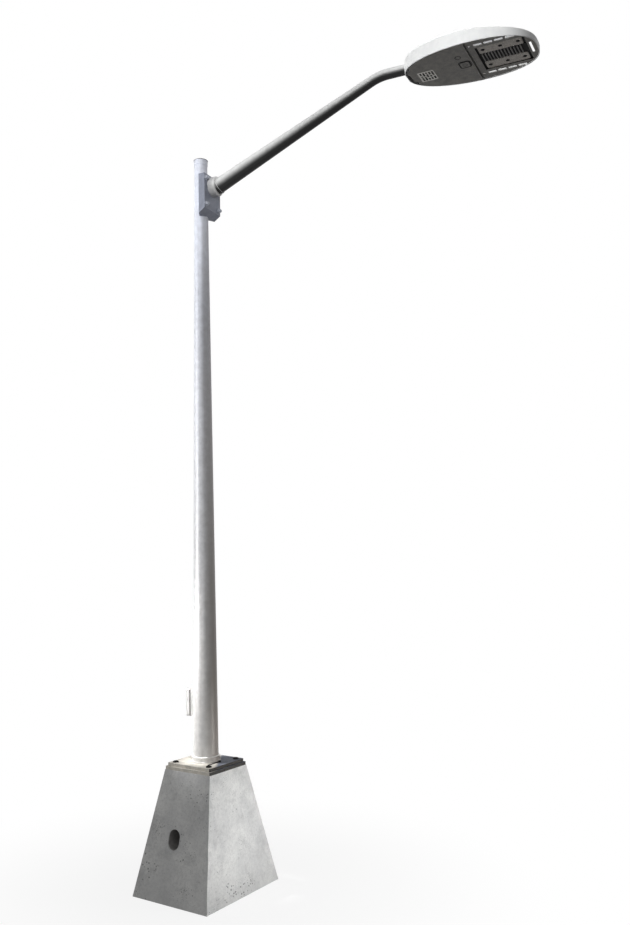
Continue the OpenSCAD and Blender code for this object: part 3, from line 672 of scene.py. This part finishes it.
def buildArm():
    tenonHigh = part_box("arm_tenon")[1]
    stubLow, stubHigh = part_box("arm_stub")
    root = Vector((stubHigh.x, 0, (stubLow.z + stubHigh.z) / 2))
    level = tenonHigh.z - arm["endWidth"] / 2
    knee = Vector((arm["kneePlace"], 0, level))
    along = (knee - root).normalized()
    slope = math.atan2(along.z, along.x)
    run = arm["kneeRadius"] * math.tan(slope / 2)
    start = root - along * arm["rootBack"]
    bendStart = knee - along * run
    reach = (bendStart - start).length
    centre = Vector((knee.x + run, 0, level - arm["kneeRadius"]))

    def pathRings(shrink):
        rings = []
        for k in range(arm["rings"] + 1):
            t = k / arm["rings"]
            grow = (arm["rootWidth"] - arm["endWidth"]) / 2 * (1 - t)
            rings.append(ringAt(start.lerp(bendStart, t), along, arm["endWidth"] / 2 + grow - shrink))
        return rings

    def kneeRings(shrink):
        rings = []
        for k in range(arm["kneeRings"] + 1):
            turn = slope * (1 - k / arm["kneeRings"])
            place = centre + Vector((-math.sin(turn), 0, math.cos(turn))) * arm["kneeRadius"]
            heading = Vector((math.cos(turn), 0, math.sin(turn)))
            rings.append(ringAt(place, heading, arm["endWidth"] / 2 - shrink))
        rings.append(ringAt(Vector((tenonHigh.x, 0, level)), Vector((1, 0, 0)), arm["endWidth"] / 2 - shrink))
        return rings

    for name, node, rings in (("armTube", "arm_tube", pathRings), ("armTenon", "arm_tenon", kneeRings)):
        bm = bmesh.new()
        outer, inner = rings(0), rings(arm["wall"])
        tubeThrough(bm, outer + inner[::-1] + outer[:1], arm["sides"])
        piece = finishPiece(name, bm, armSatin)
        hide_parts(node)

    # weld bead round the taper, where it leaves the stub
    bm = bmesh.new()
    bead = arm["bead"]
    turned(bm, [(arm["rootWidth"] / 2 - 1 * mm + bead * math.cos(a), bead * math.sin(a))
                for a in (2 * math.pi * k / 10 for k in range(10))],
           root + along * 4 * mm, along, 64)
    finishPiece("armWeld", bm, armSatin)


# the stub is a closed boss with a rounded rim, and the arm's root goes into it
def buildStub():
    low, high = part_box("arm_stub")
    stub = {"round": 10 * mm, "steps": 6}
    radius = (high.z - low.z) / 2
    length = high.x - low.x
    profile = [(0, 0), (radius, 0)]
    for k in range(stub["steps"] + 1):
        turn = math.pi / 2 * k / stub["steps"]
        profile.append((radius - stub["round"] * (1 - math.cos(turn)),
                        length - stub["round"] * (1 - math.sin(turn))))
    profile.append((0, length))
    bm = bmesh.new()
    turned(bm, profile, Vector((low.x, 0, (low.z + high.z) / 2)), (1, 0, 0), 64)
    piece = finishPiece("armStub", bm, stubSatin)
    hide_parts("arm_stub")


buildStub()
buildArm()
print("bracket and arm built")


def buildRim():
    bm = bmesh.new()
    points = teardropPoints(0, lamp["neck"], lamp["length"])
    edges = closedLoop(bm, [(lampX + u, v, rimZ) for u, v in points])[1]
    grown = bmesh.ops.extrude_edge_only(bm, edges=edges)["geom"]
    for vert in vertsOf(grown):
        vert.co.z = rimTop(vert.co.x - lampX)
    bmesh.ops.recalc_face_normals(bm, faces=bm.faces)
    bmesh.ops.solidify(bm, geom=bm.faces[:], thickness=lamp["wall"])
    bevelSharp(bm, 1.8 * mm, 3, 50)
    piece = finishPiece("sideRim", bm, whitePowder)
    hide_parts("side_rim")

    # sleeve that takes the arm, with a rolled lip outside the rim
    sleeve = {"outer": 38 * mm, "bore": 30.45 * mm, "from": -4 * mm, "to": 114 * mm, "round": 3 * mm}
    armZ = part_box("arm_tenon")[1].z - arm["endWidth"] / 2
    bm = bmesh.new()
    turned(bm, [(sleeve["bore"], sleeve["from"]), (sleeve["outer"] - sleeve["round"], sleeve["from"]),
                (sleeve["outer"] - 0.3 * sleeve["round"], sleeve["from"] + 0.3 * sleeve["round"]),
                (sleeve["outer"], sleeve["from"] + sleeve["round"]),
                (sleeve["outer"], sleeve["to"]), (sleeve["bore"], sleeve["to"])],
           (lampX, 0, armZ), (1, 0, 0), 64)
    finishPiece("armSleeve", bm, whitePowder)

    # two ears that hang from the sleeve and carry the hinge pin
    ear = {"along": 32 * mm, "apart": 29 * mm, "thick": 6 * mm, "round": 5 * mm, "steps": 8}
    hingeZ = (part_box("hinge_pin")[0].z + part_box("hinge_pin")[1].z) / 2
    top = armZ - sleeve["bore"] - 1 * mm
    for side, v in (("Left", ear["apart"]), ("Right", -ear["apart"])):
        bm = bmesh.new()
        outline = [(ear["round"], top), (-ear["round"], top)]
        for k in range(ear["steps"] + 1):
            turn = math.pi * (1 + k / ear["steps"])
            outline.append((ear["round"] * math.cos(turn), hingeZ + ear["round"] * math.sin(turn)))
        face = bm.faces.new([bm.verts.new((lampX + ear["along"] + u, v - ear["thick"] / 2, z))
                             for u, z in outline])
        drawOut(bm, face, (0, ear["thick"], 0))
        bevelSharp(bm, 0.8 * mm, 2, 50)
        finishPiece(f"hingeEar{side}", bm, whitePowder)


# crowned roof: the outline is extruded in rings that close in as they rise
def buildRoof():
    roof = {"rings": 8, "close": 0.34, "skin": 3.5 * mm, "middle": 0.52}
    rings = roof["rings"]
    bm = bmesh.new()
    face = teardropFace(bm, 0, lamp["neck"], lamp["roofLength"], rimZ + lamp["rimHeight"])
    middle = Vector((lampX + lamp["roofLength"] * roof["middle"], 0, 0))
    last, lift = 1.0, 0.0
    for k in range(1, rings + 1):
        turn = math.pi / 2 * k / rings
        scale = 1 - roof["close"] * (1 - math.cos(turn))
        rise = lamp["crown"] * math.sin(turn)
        face = bmesh.ops.extrude_discrete_faces(bm, faces=[face])["faces"][0]
        bmesh.ops.scale(bm, vec=(scale / last, scale / last, 1), verts=face.verts,
                        space=Matrix.Translation(-middle))
        bmesh.ops.translate(bm, vec=(0, 0, rise - lift), verts=face.verts)
        last, lift = scale, rise
    bmesh.ops.remove_doubles(bm, verts=bm.verts, dist=0.01 * mm)
    bmesh.ops.recalc_face_normals(bm, faces=bm.faces)
    bmesh.ops.solidify(bm, geom=bm.faces[:], thickness=roof["skin"])
    piece = finishPiece("roofShell", bm, whitePowder, sharp=40)
    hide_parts("roof")


buildRim()
buildRoof()
softened("bulkhead", "bulkheadWall", underGrey, 0.5 * mm)
softened("bottom_frame", "bottomFrame", underGrey, 0.8 * mm)
softened("heat_sink", "heatSink", castFins, 0.7 * mm)
print("lamp housing built")


softened("lamp_tray", "lampTray", blackCoat, 1.0 * mm)
softened("channel_ribs", "channelRibs", ribGrey, 1.0 * mm)
softened("tip_baffle", "tipBaffle", blackCoat, 1.0 * mm)


# the channel's ribs go on towards both ends, at the same pitch
def buildEndRibs():
    low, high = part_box("channel_ribs")
    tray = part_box("lamp_tray")
    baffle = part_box("tip_baffle")[0]
    ribs = {"count": 8, "thick": 6 * mm, "margin": 10 * mm}
    pitch = (high.x - low.x - ribs["thick"]) / (ribs["count"] - 1)
    bm = bmesh.new()
    for first, step in ((low.x + ribs["thick"] / 2, -pitch), (high.x - ribs["thick"] / 2, pitch)):
        x = first + step
        while tray[0].x + ribs["margin"] < x < baffle.x - ribs["margin"]:
            boxAt(bm, (x, 0, (low.z + high.z) / 2), (ribs["thick"], high.y - low.y, high.z - low.z))
            x += step
    bevelSharp(bm, 1.0 * mm, 2, 40)
    finishPiece("endRibs", bm, ribGrey)


buildEndRibs()
lens = {"along": 15, "across": 4, "radius": 5.5 * mm, "flat": 0.25, "clear": 17 * mm,
        "lift": 0.2 * mm, "sunk": 0.5 * mm}
for side in ("left", "right"):
    softened(f"lamp_strip_{side}", f"lampStrip{side.title()}", lensPlate, 1.2 * mm)
    softened(f"strip_screws_{side}", f"stripScrews{side.title()}", blackCoat, 0.6 * mm)


def screwPlaces(side):
    low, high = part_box(f"strip_screws_{side}")
    radius = (high.y - low.y) / 2
    reach = high.x - low.x - 2 * radius
    return radius, [Vector((low.x + radius + reach * k, (low.y + high.y) / 2, low.z)) for k in (0, 0.5, 1)]


def buildLenses(side):
    low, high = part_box(f"lamp_strip_{side}")
    screws = screwPlaces(side)[1]
    bm = bmesh.new()
    for i in range(lens["along"]):
        for j in range(lens["across"]):
            place = Vector((low.x + (high.x - low.x) * (i + 0.5) / lens["along"],
                            low.y + (high.y - low.y) * (j + 0.5) / lens["across"], low.z + lens["lift"]))
            if min((place - screw).to_2d().length for screw in screws) < lens["clear"]:
                continue
            shape = Matrix.Translation(place) @ Matrix.Diagonal((1, 1, lens["flat"], 1))
            bmesh.ops.create_icosphere(bm, subdivisions=2, radius=lens["radius"], matrix=shape)
    bmesh.ops.bisect_plane(bm, geom=bm.verts[:] + bm.edges[:] + bm.faces[:],
                           plane_co=(0, 0, low.z + lens["sunk"]), plane_no=(0, 0, 1), clear_outer=True)
    bmesh.ops.holes_fill(bm, edges=[e for e in bm.edges if e.is_boundary], sides=0)
    finishPiece(f"stripLenses{side.title()}", bm, lensPlate)


# dark dished washer round each screw head
def buildScrewCups(side):
    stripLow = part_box(f"lamp_strip_{side}")[0]
    radius, screws = screwPlaces(side)
    bore = radius + 0.1 * mm
    profile = [(bore, 0.2 * mm), (bore, -0.6 * mm), (radius + 3 * mm, -1.2 * mm),
               (radius + 5.5 * mm, -0.8 * mm), (radius + 6 * mm, 0.2 * mm)]
    bm = bmesh.new()
    for place in screws:
        turned(bm, profile, Vector((place.x, place.y, stripLow.z)), steps=32)
    finishPiece(f"screwCups{side.title()}", bm, blackCoat)


for side in ("left", "right"):
    buildLenses(side)
    buildScrewCups(side)
print("lamp end built")


softened("clamp_screw_1", "clampScrew1", boltZinc, 0.8 * mm)
softened("clamp_screw_2", "clampScrew2", boltZinc, 0.8 * mm)
softened("driver_box", "driverBox", castFins, 2 * mm)
softened("terminal_block", "terminalBlock", ivoryPlastic, 1.5 * mm)
softened("hinge_pin", "hingePin", boltZinc, 0.6 * mm)


# lip on the bulkhead that the door's free end closes against
def buildDoorStop():
    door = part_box("access_door")[1]
    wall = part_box("bulkhead")[0]
    stop = {"lap": 4 * mm, "thick": 1.6 * mm, "gap": 0.6 * mm}
    bm = bmesh.new()
    fromU = door.x - lampX - stop["lap"]
    face = teardropFace(bm, lamp["wall"] + 6 * mm, fromU, wall.x - lampX + 0.4 * mm, door.z + stop["gap"])
    drawOut(bm, face, (0, 0, stop["thick"]))
    bevelSharp(bm, 0.3 * mm, 1, 50)
    finishPiece("doorStop", bm, sealGrey)


buildDoorStop()
print("gear built")


softened("access_door", "accessDoor", underGrey, 0.9 * mm, body="door")


def roundedSquare(bm, size, corner, centre, depth):
    verts = boxAt(bm, centre, (*size, depth))
    upright = [e for e in {e for v in verts for e in v.link_edges}
               if abs(e.verts[0].co.z - e.verts[1].co.z) > depth / 2]
    bmesh.ops.bevel(bm, geom=upright, offset=corner, offset_type="OFFSET", segments=6, profile=0.5,
                    affect="EDGES", clamp_overlap=True, material=-1)


# dark rounded square with a grey plate and a round key seat on it; its black rim round the plate is painted
# shade for the latch's groove
def buildLatch():
    low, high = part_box("door_latch")
    latch = {"ring": 9 * mm, "corner": 17 * mm, "plateCorner": 10 * mm, "proud": 0.6 * mm,
             "seat": 13 * mm, "groove": 2 * mm}
    centre = (low + high) / 2
    size = high - low
    bm = bmesh.new()
    roundedSquare(bm, (size.x, size.y), latch["corner"], centre, size.z)
    bevelSharp(bm, 0.7 * mm, 2, 40)
    piece = finishPiece("doorLatch", bm, blackCoat, body="door")
    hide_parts("door_latch")
    bm = bmesh.new()
    inner = (size.x - 2 * latch["ring"], size.y - 2 * latch["ring"])
    roundedSquare(bm, inner, latch["plateCorner"], Vector((centre.x, centre.y, low.z)), 2 * latch["proud"])
    bevelSharp(bm, 0.3 * mm, 1, 40)
    finishPiece("latchPlate", bm, underGrey, body="door")
    bm = bmesh.new()
    turned(bm, roundRing(latch["seat"], latch["groove"]),
           Vector((centre.x, centre.y, low.z - latch["proud"])))
    finishPiece("latchKeySeat", bm, blackCoat, body="door")


# closed oval profile of a bead
def roundRing(radius, width):
    return [(radius + width / 2 * math.cos(a), 0.4 * width * math.sin(a))
            for a in (2 * math.pi * k / 8 for k in range(8))]


def buildDoorBoss():
    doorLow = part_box("access_door")[0]
    boss = {"u": 338 * mm, "v": -86 * mm, "radius": 16 * mm, "width": 3 * mm}
    bm = bmesh.new()
    turned(bm, roundRing(boss["radius"], boss["width"]), Vector((lampX + boss["u"], boss["v"], doorLow.z)))
    finishPiece("doorBoss", bm, blackCoat, body="door")


# bars stand in for whatever a real plate would say
def buildRatingPlate():
    low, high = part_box("rating_plate")
    softened("rating_plate", "ratingPlate", plateSilver, 0.3 * mm, body="door")
    rows = [(0.10, [(0.08, 0.30), (0.40, 0.52), (0.58, 0.90)]),
            (0.28, [(0.08, 0.44), (0.52, 0.90)]),
            (0.46, [(0.08, 0.22), (0.28, 0.60), (0.70, 0.90)]),
            (0.64, [(0.08, 0.36), (0.44, 0.62), (0.68, 0.90)]),
            (0.82, [(0.08, 0.50), (0.60, 0.90)])]
    tall = 0.11
    thick = 0.3 * mm
    size = high - low
    bm = bmesh.new()
    for place, bars in rows:
        for start, stop in bars:
            centre = Vector((low.x + size.x * (place + tall / 2),
                             low.y + size.y * (start + stop) / 2, low.z))
            boxAt(bm, centre, (size.x * tall, size.y * (stop - start), thick))
    finishPiece("ratingBars", bm, plateInk, body="door")


buildLatch()
buildDoorBoss()
buildRatingPlate()
print("access door built")


def mixShader(tree, factor, first, second):
    node = addNode(tree, "ShaderNodeMixShader")
    for socket, source in zip(node.inputs, (factor, first, second)):
        tree.links.new(source, socket)
    return node.outputs["Shader"]


# 1 where the eye sees a surface straight, by reflection or through something
def seenByEye(tree):
    light = addNode(tree, "ShaderNodeLightPath")
    seen = mathNode(tree, "MAXIMUM", light.outputs["Is Camera Ray"], light.outputs["Is Glossy Ray"])
    return mathNode(tree, "MAXIMUM", seen, light.outputs["Is Transmission Ray"])


def buildFloor():
    ground = {"half": 60, "drop": 0.2 * mm, "near": 0.90, "bounce": 0.34,
              "fadeFrom": 0.2, "whiteBy": 2.4, "white": 0.86}
    bm = bmesh.new()
    # a hair below the block, so that the two faces don't share a plane
    below = Matrix.Translation((0, 0, -ground["drop"]))
    bmesh.ops.create_grid(bm, x_segments=1, y_segments=1, size=ground["half"], matrix=below)
    mesh = bpy.data.meshes.new("studioFloor")
    bm.to_mesh(mesh)
    bm.free()
    floor = bpy.data.objects.new("studioFloor", mesh)
    scene.collection.objects.link(floor)
    material, tree = newMaterial("studioFloor")
    tree.nodes.remove(tree.nodes["Principled BSDF"])
    near = setInputs(addNode(tree, "ShaderNodeBsdfDiffuse"), Color=(*grey(ground["near"]), 1))
    bounce = setInputs(addNode(tree, "ShaderNodeBsdfDiffuse"), Color=(*grey(ground["bounce"]), 1))
    white = setInputs(addNode(tree, "ShaderNodeEmission"), Strength=1.0)
    # mostly white beside the block, and plain white a few metres away
    place = addNode(tree, "ShaderNodeTexCoord")
    length = addNode(tree, "ShaderNodeVectorMath", operation="LENGTH")
    tree.links.new(place.outputs["Object"], length.inputs[0])
    spread = mapRange(tree, length.outputs["Value"], ground["fadeFrom"], ground["whiteBy"],
                      ground["white"], smooth=True)
    fade = mixShader(tree, spread, near.outputs["BSDF"], white.outputs["Emission"])
    choose = mixShader(tree, seenByEye(tree), bounce.outputs["BSDF"], fade)
    # seen from below, the floor lets the object show
    face = addNode(tree, "ShaderNodeNewGeometry")
    clear = addNode(tree, "ShaderNodeBsdfTransparent")
    both = mixShader(tree, face.outputs["Backfacing"], choose, clear.outputs["BSDF"])
    tree.links.new(both, tree.nodes["Material Output"].inputs["Surface"])
    floor.data.materials.append(material)


# the world is white where it is seen, and a dim sky where it lights
def buildWorld():
    sky = {"top": 0.22, "side": 0.58, "low": 0.14}
    world = bpy.data.worlds.new("studioWorld")
    scene.world = world
    world.use_nodes = True
    tree = world.node_tree
    place = addNode(tree, "ShaderNodeTexCoord")
    split = addNode(tree, "ShaderNodeSeparateXYZ")
    tree.links.new(place.outputs["Generated"], split.inputs["Vector"])
    rise = mapRange(tree, split.outputs["Z"], -1.0, 1.0)
    glow = greyRamp(tree, rise, (0.45, sky["low"]), (0.55, sky["side"]), (0.95, sky["top"]))
    colour = mixColour(tree, seenByEye(tree), glow, grey(1.0))
    tree.links.new(colour, tree.nodes["Background"].inputs["Color"])


def areaLight(name, place, target, size, power, spread):
    data = bpy.data.lights.new(name, "AREA")
    data.shape = "RECTANGLE"
    data.size, data.size_y = size
    data.energy = power
    data.spread = math.radians(spread)
    lightObject = bpy.data.objects.new(name, data)
    scene.collection.objects.link(lightObject)
    lightObject.location = place
    lightObject.rotation_euler = (Vector(target) - Vector(place)).to_track_quat("-Z", "Y").to_euler()


# each light: place, target, size, watts, and spread in degrees
studioLights = {
    "blockKey": ((3.3, 0.75, 0.75), (0.15, 0.0, 0.42), (1.2, 0.6), 3.4, 34),
    "poleStrip": ((-2.9, -2.6, 3.2), (0.0, 0.0, 3.6), (0.6, 3.4), 19, 56),
    "footStrip": ((-2.0, -1.5, 1.7), (0.0, 0.0, 1.6), (0.3, 0.5), 1.3, 26),
    "plateSpot": ((-1.0, -0.45, 3.4), (0.0, 0.0, 0.84), (0.05, 0.05), 0.5, 10),
    "poleFill": ((2.4, -5.6, 4.7), (0.0, 0.0, 4.72), (0.3, 0.3), 1.3, 16),
    "lampFront": ((0.4, -4.4, 6.4), (1.7, 0.0, 5.1), (1.6, 1.2), 7, 46),
    "lampTop": ((1.95, -0.5, 6.4), (1.98, 0.0, 5.05), (0.7, 0.7), 2.2, 50),
}


def buildLights():
    for name, settings in studioLights.items():
        areaLight(name, *settings)


def buildCamera():
    view = {"turn": -57.0, "distance": 6.0996, "height": 2.2337, "heading": 116.09,
            "roll": 0.0087, "lens": 35.59, "shift": 0.0937}
    data = bpy.data.cameras.new("mainCamera")
    camera = bpy.data.objects.new("mainCamera", data)
    scene.collection.objects.link(camera)
    around = math.radians(view["turn"])
    camera.location = (view["distance"] * math.cos(around),
                       view["distance"] * math.sin(around), view["height"])
    camera.rotation_euler = (math.pi / 2, view["roll"], math.radians(view["heading"] - 90))
    data.lens = view["lens"]
    data.shift_y = view["shift"]
    scene.camera = camera


buildFloor()
buildWorld()
buildLights()
buildCamera()
scene.view_settings.view_transform = "Standard"
print("stage built")
